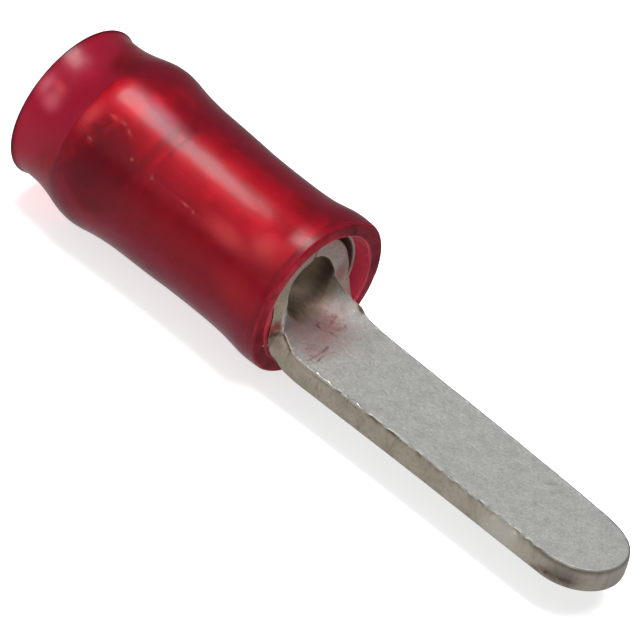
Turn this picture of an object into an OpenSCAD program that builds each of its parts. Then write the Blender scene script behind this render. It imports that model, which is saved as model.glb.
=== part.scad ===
// Pre-insulated crimp blade terminal: a flat blade rolled at its root into a
// wire barrel, a thin metal support sleeve round the barrel, and a clear
// nylon insulation sleeve over both.
// X runs along the terminal, towards the tip of the blade. Z is up, square to
// the flat of the blade. The origin is on the barrel's axis, at the middle of
// its length. Both sleeves share an axis a little below it, because the
// barrel lies against the top of the support sleeve. Millimetres.

/* [Blade] */
// Thickness of the blade
blade_t = 0.76; // [0.6:0.02:0.9]
// Width of the blade where it leaves the barrel
blade_root_w = 3.46; // [3.2:0.02:3.6]
// Width of the blade where its round end starts
blade_tip_w = 3.12; // [2.6:0.02:3.2]
// Reach of the blade beyond the front face of the insulation
blade_reach = 12.66; // [9:0.1:16]
// Height of the blade's upper face below the barrel axis
blade_drop = 0.965; // [0.94:0.005:1.0]

/* [Wire barrel] */
// Outer diameter of the rolled barrel
barrel_od = 3.28; // [3.2:0.02:3.36]
// Bore of the rolled barrel
barrel_id = 1.92; // [1.8:0.02:2.0]
// Length of the barrel along its lower side
barrel_len = 5.22; // [4.6:0.1:5.6]
// Depth of the barrel's cut edge inside the insulation
barrel_recess = 0.42; // [0.3:0.02:0.6]
// Lean of the cut edge at the top of the barrel, per millimetre of height
cut_lean = 0.08; // [0:0.02:0.2]
// Length over which the rolled sheet opens out flat
open_len = 1.10; // [0.9:0.05:1.5]
// Inner corner radius between the barrel's edge and the blade's side
neck_r = 0.40; // [0.3:0.02:0.6]
// Depth of the groove along the closed seam
seam_depth = 0.12; // [0.05:0.01:0.2]

/* [Support sleeve] */
// Wall of the support sleeve
support_t = 0.20; // [0.15:0.01:0.25]
// Inner radius of its middle, which the barrel lies in
support_r = 1.80; // [1.76:0.01:1.84]
// Wall left at its flared front edge
support_edge_t = 0.15; // [0.1:0.01:0.15]
// Outer radius of its flared front edge
support_front_r = 2.07; // [2.0:0.01:2.1]
// Depth of its front edge inside the insulation
support_recess = 0.50; // [0.4:0.05:0.7]
// Outer radius of its wide wire end
support_wire_r = 2.31; // [2.2:0.01:2.34]
// Distance from the insulation's front face to its wire end
support_end = 8.50; // [8.3:0.05:8.7]
// Depth of the rolled-in stop ring behind the barrel
ring_depth = 0.30; // [0.24:0.01:0.34]

/* [Insulation sleeve] */
// Length of the insulation sleeve
ins_len = 10.31; // [10:0.05:10.8]
// Radius at the front face
front_r = 2.637; // [2.6:0.005:2.7]
// Radius of the mouth in the front face
mouth_r = 2.13; // [2.1:0.005:2.2]
// Radius at the waist
waist_r = 2.48; // [2.4:0.01:2.55]
// Radius of the bulge over the wide end of the support sleeve
bulge_r = 2.775; // [2.7:0.005:2.85]
// Radius of the neck behind the bulge
neck_out_r = 2.455; // [2.42:0.005:2.5]
// Inner radius of the neck
neck_in_r = 2.10; // [2.0:0.01:2.15]
// Radius of the flared rim at the wire entry
rim_r = 2.55; // [2.5:0.01:2.6]

/* [Hidden] */
$fn = 96;

ro = barrel_od / 2;
ri = barrel_id / 2;
rm = (ro + ri) / 2;                 // radius of the middle of the rolled sheet
barrel_t = ro - ri;
axis_dz = support_r - ro;           // barrel axis above the sleeves' axis
x_edge = -barrel_recess;            // cut edge at the sides of the barrel
x_back = x_edge - barrel_len;       // wire end of the barrel
x_flat = x_edge + open_len;         // from here on the sheet is flat
x_lap = x_flat - 0.03;              // the blade starts just inside the sheet
x_tip = blade_reach;
tip_r = blade_tip_w / 2;
x_mid = (x_edge + x_back) / 2;      // the origin, measured from the front face
top_z = -blade_drop;
low_z = top_z - blade_t;

// Smooth step from 0 to 1
function ease(u) = let (v = min(1, max(0, u))) v * v * (3 - 2 * v);
function mix(a, b, u) = a + (b - a) * u;
// Points of a smooth rise from [x0, r0] to [x1, r1], without the last one
function rise(x0, r0, x1, r1, n) =
    [for (i = [0:n - 1]) [mix(x0, x1, i / n), mix(r0, r1, ease(i / n))]];
// Points of a quarter round about c, from angle a0 to a1
function arc(c, r, a0, a1, n) =
    [for (i = [0:n]) let (a = mix(a0, a1, i / n)) [c[0] + r * cos(a), c[1] + r * sin(a)]];

// Turns a profile of [x, radius] points about the X axis
module turned(profile) {
    rotate([0, 90, 0])
        rotate_extrude($fn = 96)
            polygon([for (p = profile) [p[1], p[0]]]);
}

// ---- Support sleeve -------------------------------------------------------

s_waist = support_r + support_t;    // outer radius round the barrel
x_sf = -support_recess;             // front edge
x_sw = x_sf - 1.30;                 // end of the front flare
x_rg0 = x_back + 0.06;              // stop ring, front side
x_rg1 = x_rg0 - 0.66;               // stop ring, wire side
x_cn = x_rg1 - 1.30;                // end of the cone
x_se = -support_end;                // wire end
s_mid = s_waist + 0.04;             // outer radius between ring and cone

// Outer line that the insulation lies on, front edge to wire end
function support_line() = concat(
    rise(x_sf, support_front_r, x_sw, s_waist, 7),
    [[x_sw, s_waist], [x_rg0, s_waist], [x_rg1, s_mid]],
    rise(x_rg1, s_mid, x_cn, support_wire_r, 7),
    [[x_cn, support_wire_r], [x_se, support_wire_r]]);

// Outer line of the metal itself: the same, with the rolled-in ring
function support_outer() = concat(
    rise(x_sf, support_front_r, x_sw, s_waist, 7),
    [[x_sw, s_waist]],
    rise(x_rg0, s_waist, (x_rg0 + x_rg1) / 2, s_waist - ring_depth, 5),
    rise((x_rg0 + x_rg1) / 2, s_waist - ring_depth, x_rg1, s_mid, 5),
    rise(x_rg1, s_mid, x_cn, support_wire_r, 7),
    [[x_cn, support_wire_r], [x_se + 0.06, support_wire_r], [x_se, support_wire_r - 0.06]]);

// Inner line, wire end to front edge
function support_inner() = concat(
    [[x_se, support_wire_r - support_t + 0.05], [x_se + 0.05, support_wire_r - support_t]],
    rise(x_cn, support_wire_r - support_t, x_rg1, s_mid - support_t, 7),
    rise(x_rg1, s_mid - support_t, (x_rg0 + x_rg1) / 2, support_r - ring_depth, 5),
    rise((x_rg0 + x_rg1) / 2, support_r - ring_depth, x_rg0, support_r, 5),
    [[x_rg0, support_r]],
    rise(x_sw, support_r, x_sf, support_front_r - support_edge_t, 7),
    [[x_sf, support_front_r - support_edge_t]]);

module support_sleeve() {
    color([0.80, 0.79, 0.76])
        turned(concat(support_outer(), support_inner()));
}

// ---- Insulation sleeve ----------------------------------------------------

x_end = -ins_len;

function insulation_outer() = concat(
    // front face, rounded on its outer edge
    arc([-0.13, front_r - 0.13], 0.13, 0, 90, 5),
    rise(-0.20, front_r, -0.295 * ins_len, waist_r, 9),
    [[-0.295 * ins_len, waist_r]],
    rise(-0.33 * ins_len, waist_r, -0.60 * ins_len, waist_r + 0.095, 6),
    rise(-0.60 * ins_len, waist_r + 0.095, -0.762 * ins_len, bulge_r, 8),
    rise(-0.762 * ins_len, bulge_r, -0.93 * ins_len, neck_out_r, 9),
    rise(-0.93 * ins_len, neck_out_r, x_end + 0.14, rim_r, 5),
    arc([x_end + 0.12, rim_r - 0.12], 0.12, 90, 180, 5));

function insulation_inner() = concat(
    [[x_end, neck_in_r + 0.16]],
    rise(x_end + 0.04, neck_in_r + 0.12, x_end + 0.80, neck_in_r, 5),
    [[x_end + 0.80, neck_in_r], [x_se - 0.05, neck_in_r], [x_se - 0.05, support_wire_r - 0.04]],
    [[x_se, support_wire_r]],
    [for (i = [len(support_line()) - 2:-1:0]) support_line()[i]],
    [[x_sf + 0.10, mouth_r - 0.03], [-0.05, mouth_r], [0, mouth_r + 0.035]]);

module insulation_sleeve() {
    color([0.78, 0.07, 0.13])
        turned(concat(insulation_outer(), insulation_inner()));
}

// ---- Blade terminal -------------------------------------------------------

// Half width of the blade at x, along the sheet
function half_w(x) = mix(blade_root_w, blade_tip_w, (x - x_edge) / (x_tip - tip_r - x_edge)) / 2;
// Half width of the sheet in the opening part: an inner corner, then the blade
function sheet_w(x) = x < x_edge + neck_r
    ? half_w(x_edge + neck_r) + neck_r
        - sqrt(max(0, pow(neck_r, 2) - pow(x_edge + neck_r - max(x, x_edge), 2)))
    : half_w(x);
// How far the sheet has opened at x: 0 rolled, 1 flat
function opened(x) = ease((x - x_edge) / open_len);
// One point of the sheet: s along its width, h across its thickness. It is a
// hair thinner at both ends, where it lies inside the barrel and the blade
function sheet_pt(x, s, h) =
    let (o = opened(x), k = (1 - o) / rm,
         t = x < x_flat ? mix(barrel_t - 0.012, blade_t, o) : blade_t - 0.008,
         z0 = mix(-rm, (top_z + low_z) / 2, o),
         a = s * k * 180 / PI,
         y = k > 1e-6 ? sin(a) / k : s,
         z = k > 1e-6 ? z0 + (1 - cos(a)) / k : z0)
    [x, y - sin(a) * h * t, z + cos(a) * h * t];
// Cross-section at x, once round: upper side, then lower side back
ns = 18;
function sheet_ring(x) = let (w = sheet_w(x) - (x < x_flat ? 0 : 0.004)) concat(
    [for (i = [0:ns]) sheet_pt(x, mix(-w, w, i / ns), 0.5)],
    [for (i = [ns:-1:0]) sheet_pt(x, mix(-w, w, i / ns), -0.5)]);

// The part of the sheet that opens from the rolled barrel to the flat blade
module opening_sheet() {
    xs = concat(
        [x_edge - 0.30],
        [for (a = [0, 18, 36, 54, 72]) x_edge + neck_r * (1 - cos(a))],
        [for (i = [0:9]) mix(x_edge + neck_r, x_flat, i / 9)]);
    n = 2 * (ns + 1);
    m = len(xs);
    pts = [for (x = xs) each sheet_ring(x)];
    polyhedron(
        points = pts,
        faces = concat(
            [for (j = [0:m - 2], i = [0:n - 1]) let (a = j * n + i, b = j * n + (i + 1) % n) [a, b, b + n]],
            [for (j = [0:m - 2], i = [0:n - 1]) let (a = j * n + i, b = j * n + (i + 1) % n) [a, b + n, a + n]],
            [for (i = [0:ns - 1]) [i, n - 1 - i, i + 1]],
            [for (i = [0:ns - 1]) [i + 1, n - 1 - i, n - 2 - i]],
            [for (i = [0:ns - 1]) let (q = (m - 1) * n) [q + i, q + i + 1, q + n - 1 - i]],
            [for (i = [0:ns - 1]) let (q = (m - 1) * n) [q + i + 1, q + n - 2 - i, q + n - 1 - i]]),
        convexity = 6);
}

// Flat blade with its slight taper and full round end
module flat_blade() {
    translate([0, 0, low_z])
        linear_extrude(blade_t)
            union() {
                polygon([[x_lap, -half_w(x_lap)], [x_tip - tip_r, -tip_r],
                         [x_tip - tip_r, tip_r], [x_lap, half_w(x_lap)]]);
                translate([x_tip - tip_r, 0]) circle(r = tip_r, $fn = 96);
            }
}

// Rolled barrel, its front edge leaning back towards the seam on top
module barrel() {
    difference() {
        turned([[x_edge, ri - 0.3], [x_edge, ro], [x_back + 0.10, ro], [x_back, ro - 0.10],
                [x_back, ri - 0.3]]);
        // bore, with its lead-in at the wire end
        translate([x_back - 1, 0, 0])
            rotate([0, 90, 0]) cylinder(r = ri, h = barrel_len + 2);
        translate([x_back, 0, 0])
            rotate([0, 90, 0]) translate([0, 0, -0.01]) cylinder(r1 = ri + 0.16, r2 = ri, h = 0.16);
        rotate([90, 0, 0])
            linear_extrude(2 * ro + 1, center = true)
                polygon([[x_edge, 0.15], [x_edge + 1, 0.15], [x_edge + 1, ro + 0.5],
                         [x_edge - cut_lean * (ro + 0.5 - 0.15), ro + 0.5]]);
        // groove along the closed seam
        translate([x_back - 1, 0, ro + 0.02])
            rotate([45, 0, 0])
                translate([0, -seam_depth / sqrt(2) - 0.014, -seam_depth / sqrt(2) - 0.014])
                    cube([barrel_len + 2, sqrt(2) * seam_depth + 0.028, sqrt(2) * seam_depth + 0.028]);
    }
}

module blade_terminal() {
    color([0.70, 0.69, 0.66]) {
        barrel();
        opening_sheet();
        flat_blade();
    }
}

// ---- Parts ----------------------------------------------------------------

translate([-x_mid, 0, -axis_dz]) insulation_sleeve();
translate([-x_mid, 0, -axis_dz]) support_sleeve();
translate([-x_mid, 0, 0]) blade_terminal();
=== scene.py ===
import math

import bpy
import numpy as np
from mathutils import Matrix, Vector


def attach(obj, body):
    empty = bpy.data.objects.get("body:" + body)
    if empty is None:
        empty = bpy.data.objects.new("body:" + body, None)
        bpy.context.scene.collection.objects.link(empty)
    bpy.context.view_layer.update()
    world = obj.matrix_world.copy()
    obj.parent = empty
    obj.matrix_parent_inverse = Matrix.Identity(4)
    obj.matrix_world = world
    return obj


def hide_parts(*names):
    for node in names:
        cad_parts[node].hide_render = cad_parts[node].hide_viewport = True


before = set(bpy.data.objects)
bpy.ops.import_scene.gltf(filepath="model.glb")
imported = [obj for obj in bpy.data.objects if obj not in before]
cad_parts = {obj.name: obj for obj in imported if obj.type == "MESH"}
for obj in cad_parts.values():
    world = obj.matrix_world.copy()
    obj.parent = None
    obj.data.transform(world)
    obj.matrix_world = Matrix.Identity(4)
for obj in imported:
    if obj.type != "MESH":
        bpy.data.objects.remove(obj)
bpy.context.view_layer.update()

MM = 0.001
X_MID = 3.03      # front face of the insulation, mm from the object's origin
AXIS_Z = -0.16    # axis of both sleeves, mm


# ---------------------------------------------------------------- camera ----
def make_camera():
    az, el, roll = (math.radians(a) for a in (32.0328, 34.5858, -19.2887))
    back = Vector((math.sin(az) * math.cos(el), -math.cos(az) * math.cos(el), math.sin(el)))
    fw = -back
    right = fw.cross(Vector((0, 0, 1))).normalized()
    down = fw.cross(right)
    r2 = math.cos(roll) * right + math.sin(roll) * down
    d2 = -math.sin(roll) * right + math.cos(roll) * down
    cam = bpy.data.cameras.new("camera")
    cam.sensor_fit = "HORIZONTAL"
    cam.sensor_width = 36.0
    cam.lens = 812.28
    cam.clip_start, cam.clip_end = 0.01, 10.0
    obj = bpy.data.objects.new("camera", cam)
    m = Matrix((r2, -d2, back)).transposed().to_4x4()
    m.translation = Vector((0.003364, 0.0, -0.000727)) + back * 0.42
    obj.matrix_world = m
    bpy.context.scene.collection.objects.link(obj)
    bpy.context.scene.camera = obj


make_camera()


# ------------------------------------------------------------ small tools ----
def ease(u):
    u = np.clip(u, 0.0, 1.0)
    return u * u * (3 - 2 * u)


def mix(a, b, u):
    return a + (b - a) * u


def waves(seed, n, lo, hi):
    """A smooth repeatable wave of one variable: n sines between two frequencies, about -1 to 1."""
    rng = np.random.RandomState(seed)
    f = rng.uniform(lo, hi, n)
    p = rng.uniform(0, 2 * math.pi, n)
    a = rng.uniform(0.5, 1.0, n)
    a /= np.sqrt((a * a).sum() / 2) * 1.6
    return lambda t: sum(ai * np.sin(fi * np.asarray(t, float) + pi) for ai, fi, pi in zip(a, f, p))


def smooth_curve(xs, ys, x):
    """Monotone cubic through the points, for x anywhere between them."""
    xs, ys, x = (np.asarray(v, float) for v in (xs, ys, x))
    h, d = np.diff(xs), np.diff(ys) / np.diff(xs)
    m = np.zeros_like(ys)
    for i in range(1, len(xs) - 1):
        if d[i - 1] * d[i] > 0:
            w1, w2 = 2 * h[i] + h[i - 1], h[i] + 2 * h[i - 1]
            m[i] = (w1 + w2) / (w1 / d[i - 1] + w2 / d[i])
    m[0], m[-1] = d[0], d[-1]
    i = np.clip(np.searchsorted(xs, x) - 1, 0, len(h) - 1)
    t = (x - xs[i]) / h[i]
    return ((2 * t**3 - 3 * t**2 + 1) * ys[i] + (t**3 - 2 * t**2 + t) * h[i] * m[i]
            + (-2 * t**3 + 3 * t**2) * ys[i + 1] + (t**3 - t**2) * h[i] * m[i + 1])


def piece(name, verts, faces, materials, node, sharp=None, merge=None, which=None, attrs=None):
    """One mesh object. which gives each face's material, attrs a number for each point under a name."""
    me = bpy.data.meshes.new(name)
    me.from_pydata([tuple(v) for v in np.asarray(verts) * MM], [], [tuple(int(i) for i in f) for f in faces])
    if which is not None:
        me.polygons.foreach_set("material_index", np.asarray(which, np.int32))
    for key, values in (attrs or {}).items():
        me.attributes.new(key, "FLOAT", "POINT").data.foreach_set("value", np.asarray(values, np.float32))
    if merge:
        import bmesh
        bm = bmesh.new()
        bm.from_mesh(me)
        bmesh.ops.remove_doubles(bm, verts=bm.verts, dist=merge * MM)
        bmesh.ops.dissolve_degenerate(bm, dist=merge * MM * 0.5, edges=bm.edges)
        bmesh.ops.recalc_face_normals(bm, faces=bm.faces)
        bm.to_mesh(me)
        bm.free()
    me.polygons.foreach_set("use_smooth", [True] * len(me.polygons))
    if sharp:
        me.set_sharp_from_angle(angle=math.radians(sharp))
    me.update()
    obj = bpy.data.objects.new(name, me)
    bpy.context.scene.collection.objects.link(obj)
    for m in materials:
        me.materials.append(m)
    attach(obj, "root")
    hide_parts(node)
    return obj


def lathe(profile, n, shift=None):
    """A closed profile of [x, r] turned about the sleeves' axis. shift(x, r, theta) returns the moved x and r."""
    p = np.asarray(profile, float)
    th = np.linspace(0, 2 * math.pi, n, endpoint=False)
    X = np.repeat(p[:, :1], n, 1)
    R = np.repeat(p[:, 1:2], n, 1)
    T = np.repeat(th[None], len(p), 0)
    if shift:
        X, R = shift(X, R, T)
    verts = np.stack([X + X_MID, R * np.cos(T), R * np.sin(T) + AXIS_Z], -1).reshape(-1, 3)
    m = len(p)
    faces = [(i * n + j, i * n + (j + 1) % n, ((i + 1) % m) * n + (j + 1) % n, ((i + 1) % m) * n + j)
             for i in range(m) for j in range(n)]
    return verts, faces


# -------------------------------------------------------------- materials ----
class Tree:
    """Short calls that build a node tree. Positions come from the object's own coordinates, in millimetres."""

    def __init__(self, name):
        self.mat = bpy.data.materials.new(name)
        self.mat.use_nodes = True
        self.nodes, self.links = self.mat.node_tree.nodes, self.mat.node_tree.links
        self.nodes.clear()
        self.out = self.nodes.new("ShaderNodeOutputMaterial")
        self.bsdf = self.nodes.new("ShaderNodeBsdfPrincipled")
        self.links.new(self.bsdf.outputs[0], self.out.inputs["Surface"])
        tc = self.nodes.new("ShaderNodeTexCoord")
        m = self.nodes.new("ShaderNodeMapping")
        m.inputs["Scale"].default_value = (1000, 1000, 1000)
        self.links.new(tc.outputs["Object"], m.inputs["Vector"])
        self.pos = m.outputs[0]

    def put(self, socket, value):
        if isinstance(value, bpy.types.NodeSocket):
            self.links.new(value, socket)
        else:
            socket.default_value = value

    def math(self, op, a, b=0.0, clamp=False):
        n = self.nodes.new("ShaderNodeMath")
        n.operation, n.use_clamp = op, clamp
        self.put(n.inputs[0], a)
        self.put(n.inputs[1], b)
        return n.outputs[0]

    def vec(self, op, a, b=(0, 0, 0)):
        n = self.nodes.new("ShaderNodeVectorMath")
        n.operation = op
        self.put(n.inputs[0], a)
        if op not in ("LENGTH", "NORMALIZE"):
            self.put(n.inputs[1], b)
        return n.outputs["Value"] if op in ("LENGTH", "DOT_PRODUCT") else n.outputs[0]

    def ramp(self, v, lo, hi, a=0.0, b=1.0):
        n = self.nodes.new("ShaderNodeMapRange")
        n.interpolation_type = "SMOOTHSTEP"
        for k, w in zip(("Value", "From Min", "From Max", "To Min", "To Max"), (v, lo, hi, a, b)):
            self.put(n.inputs[k], w)
        return n.outputs[0]

    def noise(self, scale, detail=2.0, rough=0.5, stretch=None, offset=(0, 0, 0), pos=None, distort=0.0):
        v = self.pos if pos is None else pos
        if stretch or any(offset):
            m = self.nodes.new("ShaderNodeMapping")
            m.inputs["Scale"].default_value = stretch or (1, 1, 1)
            m.inputs["Location"].default_value = offset
            self.links.new(v, m.inputs["Vector"])
            v = m.outputs[0]
        n = self.nodes.new("ShaderNodeTexNoise")
        self.links.new(v, n.inputs["Vector"])
        n.inputs["Scale"].default_value = scale
        n.inputs["Detail"].default_value = detail
        n.inputs["Roughness"].default_value = rough
        n.inputs["Distortion"].default_value = distort
        return n.outputs[0]

    def mix(self, a, b, fac, blend="MIX"):
        n = self.nodes.new("ShaderNodeMix")
        n.data_type, n.blend_type = "RGBA", blend
        self.put(n.inputs[0], fac)
        for s, v in ((n.inputs[6], a), (n.inputs[7], b)):
            self.put(s, v if isinstance(v, bpy.types.NodeSocket) else (*v, 1.0))
        return n.outputs[2]

    def spot(self, centre, radii, turn=0.0, soft=0.0, pos=None):
        """1 inside an ellipsoid about centre (mm), falling to 0 at its surface; turned about Z by degrees."""
        m = self.nodes.new("ShaderNodeMapping")
        m.vector_type = "TEXTURE"
        m.inputs["Location"].default_value = centre
        m.inputs["Rotation"].default_value = (0, 0, math.radians(turn))
        m.inputs["Scale"].default_value = radii
        self.links.new(self.pos if pos is None else pos, m.inputs["Vector"])
        return self.ramp(self.vec("LENGTH", m.outputs[0]), 1.0, soft)

    def axis(self, i, pos=None):
        n = self.nodes.new("ShaderNodeSeparateXYZ")
        self.links.new(self.pos if pos is None else pos, n.inputs[0])
        return n.outputs[i]

    def attr(self, name):
        n = self.nodes.new("ShaderNodeAttribute")
        n.attribute_name = name
        return n.outputs["Fac"]

    def unroll(self):
        """Round a sleeve: x from its front face, and the way round it at radius 2.5, in mm."""
        y, z = self.axis(1), self.math("SUBTRACT", self.axis(2), AXIS_Z)
        a = self.math("ARCTAN2", self.math("MULTIPLY", z, -1.0), self.math("MULTIPLY", y, -1.0))
        n = self.nodes.new("ShaderNodeCombineXYZ")
        self.links.new(self.math("SUBTRACT", self.axis(0), X_MID), n.inputs[0])
        self.links.new(self.math("MULTIPLY", self.math("ADD", a, math.pi), 2.5), n.inputs[1])
        return n.outputs[0]

    def most(self, masks):
        out = masks[0]
        for m in masks[1:]:
            out = self.math("MAXIMUM", out, m)
        return out

    def bump(self, height, distance, strength=1.0, normal=None):
        n = self.nodes.new("ShaderNodeBump")
        n.inputs["Strength"].default_value = strength
        n.inputs["Distance"].default_value = distance * MM
        self.links.new(height, n.inputs["Height"])
        if normal is not None:
            self.links.new(normal, n.inputs["Normal"])
        return n.outputs[0]

    def set(self, **kw):
        for k, v in kw.items():
            self.put(self.bsdf.inputs[k.replace("_", " ")], v)


def nylon_material():
    t = Tree("red_nylon")
    u = t.unroll()
    cloud = t.noise(0.9, 3, 0.55)
    fine = t.noise(7.0, 3, 0.6)
    col = t.mix((0.90, 0.018, 0.065), (0.96, 0.030, 0.095), t.ramp(cloud, 0.3, 0.7))
    col = t.mix(col, (0.72, 0.014, 0.05), t.math("MULTIPLY", t.ramp(fine, 0.50, 0.75), 0.35))
    col = t.mix(col, (1.0, 0.05, 0.12), t.math("MULTIPLY", t.ramp(fine, 0.48, 0.25), 0.35))
    # faint scratches and rubbed places in the surface, which catch the light, are painted as light orange glints
    breaks = t.ramp(t.noise(4.5, 2, 0.6, offset=(4, 2, 9)), 0.32, 0.52)
    painted_glints = [t.spot((-7.50, 5.77, 0), (0.26, 0.075, 1), -9, 0.0, u), t.spot((-7.12, 5.72, 0), (0.26, 0.075, 1), 3, 0.0, u),
             t.spot((-6.86, 5.82, 0), (0.22, 0.07, 1), 28, 0.0, u), t.spot((-6.25, 6.37, 0), (0.09, 0.15, 1), -20, 0.0, u),
             t.spot((-5.38, 6.43, 0), (0.16, 0.08, 1), 35, 0.0, u), t.spot((-4.03, 6.43, 0), (0.24, 0.07, 1), 3, 0.0, u),
             t.spot((-3.66, 6.47, 0), (0.07, 0.12, 1), -30, 0.0, u), t.spot((-7.68, 6.62, 0), (0.20, 0.06, 1), 12, 0.0, u)]
    col = t.mix(col, (1.0, 0.36, 0.22), t.math("MULTIPLY", t.most(painted_glints), t.math("MULTIPLY", breaks, 0.62)))
    # painted light: lighter orange-red patches that stand in for soft reflections; they are also made cloudier below
    haze_and_light_patches = [t.spot((-8.12, 6.12, 0), (0.42, 0.80, 1), 12, 0.0, u), t.spot((-9.62, 6.07, 0), (0.45, 0.30, 1), 20, 0.0, u), t.spot((-2.35, 6.35, 0), (1.55, 0.50, 1), 0, 0.0, u),
            t.spot((-1.1, 5.95, 0), (1.1, 0.75, 1), 0, 0.0, u)]
    col = t.mix(col, (0.98, 0.13, 0.12), t.math("MULTIPLY", t.most(haze_and_light_patches), t.ramp(cloud, 0.2, 0.7, 0.40, 0.80)))
    # painted highlight: two pale pink patches on the collar
    pale = t.most([t.spot((-10.05, 6.22, 0), (0.36, 0.62, 1), 0, 0.0, u), t.spot((-9.60, 6.52, 0), (0.52, 0.55, 1), 0, 0.0, u)])
    col = t.mix(col, (0.98, 0.28, 0.35), t.math("MULTIPLY", pale, t.ramp(cloud, 0.2, 0.7, 0.30, 0.60)))
    # painted highlight: a pale streak along the bulge; painted light: the lower flank, which glows where light comes
    # through from behind
    gleam = t.spot((-6.55, 4.72, 0), (1.75, 0.42, 1), 2, 0.0, u)
    col = t.mix(col, (0.55, 0.33, 0.42), t.math("MULTIPLY", gleam, t.ramp(cloud, 0.2, 0.7, 0.45, 0.75)))
    glow = t.math("MAXIMUM", t.math("MULTIPLY", t.spot((-3.9, 7.8, 0), (4.0, 1.1, 1), 0, 0.2, u), 0.45), t.spot((-1.1, 7.55, 0), (2.1, 0.95, 1), 0, 0.0, u))
    col = t.mix(col, (1.0, 0.010, 0.030), t.math("MULTIPLY", glow, 0.8))
    # darker patches on the top near the front and at the collar, and the front face darker in patches
    dark = [t.spot((-1.3, 4.0, 0), (0.75, 0.34, 1), 0, 0.1, u), t.spot((-8.75, 4.1, 0), (0.75, 0.75, 1), 0, 0.2, u)]
    col = t.mix(col, (0.55, 0.012, 0.03), t.math("MULTIPLY", t.most(dark), 0.8))
    col = t.mix(col, (0.50, 0.010, 0.035), t.math("MULTIPLY", t.ramp(t.axis(0, u), -0.10, 0.0), t.ramp(t.noise(1.9, 3, 0.6, offset=(8, 8, 1)), 0.42, 0.62, 0.0, 0.7)))
    # specks of dirt and scraped nylon on the lip of the mouth
    dirt = t.most([t.spot((3.03, -2.08, -0.37), (0.10, 0.11, 0.07), 0, 0.3), t.spot((3.03, -2.17, -0.58), (0.10, 0.06, 0.07), 0, 0.3),
                   t.spot((3.03, -1.98, -1.00), (0.10, 0.05, 0.09), 0, 0.3)])
    chip = t.spot((3.02, -1.95, -1.21), (0.10, 0.07, 0.06), 0, 0.3)
    col = t.mix(t.mix(col, (0.10, 0.010, 0.02), dirt), (0.75, 0.62, 0.58), chip)
    # the cut front end is cloudier than the moulded sides
    end = t.math("MULTIPLY", t.ramp(t.axis(0, u), -0.16, -0.02), t.ramp(cloud, 0.25, 0.70, 0.05, 0.18))
    milky = t.math("MULTIPLY", t.most(painted_glints), t.math("MULTIPLY", breaks, 0.16))
    milky = t.math("MAXIMUM", milky, t.math("MULTIPLY", t.most(haze_and_light_patches), 0.14))
    milky = t.math("MAXIMUM", milky, t.math("MAXIMUM", t.math("MULTIPLY", gleam, 0.14), t.math("MULTIPLY", glow, 0.09)))
    # so is the wall of the mouth, which is also painted paler pink as painted light, where the light reaches it from
    # two sides
    rad = t.vec("LENGTH", t.vec("MULTIPLY", t.vec("ADD", t.pos, (0, 0, -AXIS_Z)), (0, 1, 1)))
    mouth = t.math("MULTIPLY", t.ramp(rad, 2.225, 2.195), t.ramp(t.axis(0, u), -0.52, -0.44))
    milky = t.math("MAXIMUM", t.math("MAXIMUM", milky, t.math("MULTIPLY", pale, 0.14)), t.math("MULTIPLY", mouth, 0.30))
    milky = t.math("MAXIMUM", milky, t.math("MULTIPLY", t.math("MAXIMUM", dirt, chip), 0.85))
    # painted light: the mouth's wall paler pink
    col = t.mix(col, (1.0, 0.12, 0.15), t.math("MULTIPLY", mouth, 0.75))
    t.set(Base_Color=col, Transmission_Weight=t.math("SUBTRACT", 0.93, t.math("MAXIMUM", end, milky)), IOR=1.30,
          Roughness=t.math("ADD", t.ramp(fine, 0.2, 0.8, 0.20, 0.26), t.math("MULTIPLY", t.ramp(t.axis(0, u), -0.075, -0.055), 0.10)))
    b = t.bump(t.noise(0.55, 2, 0.5), 0.03)
    b = t.bump(t.noise(2.4, 1, 0.5, offset=(3, 1, 7)), 0.004, normal=b)
    t.links.new(b, t.bsdf.inputs["Normal"])
    v = t.nodes.new("ShaderNodeVolumeAbsorption")
    v.inputs["Color"].default_value = (0.15, 0.60, 0.70, 1)
    v.inputs["Density"].default_value = 900.0
    t.links.new(v.outputs[0], t.out.inputs["Volume"])
    return t.mat


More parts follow.
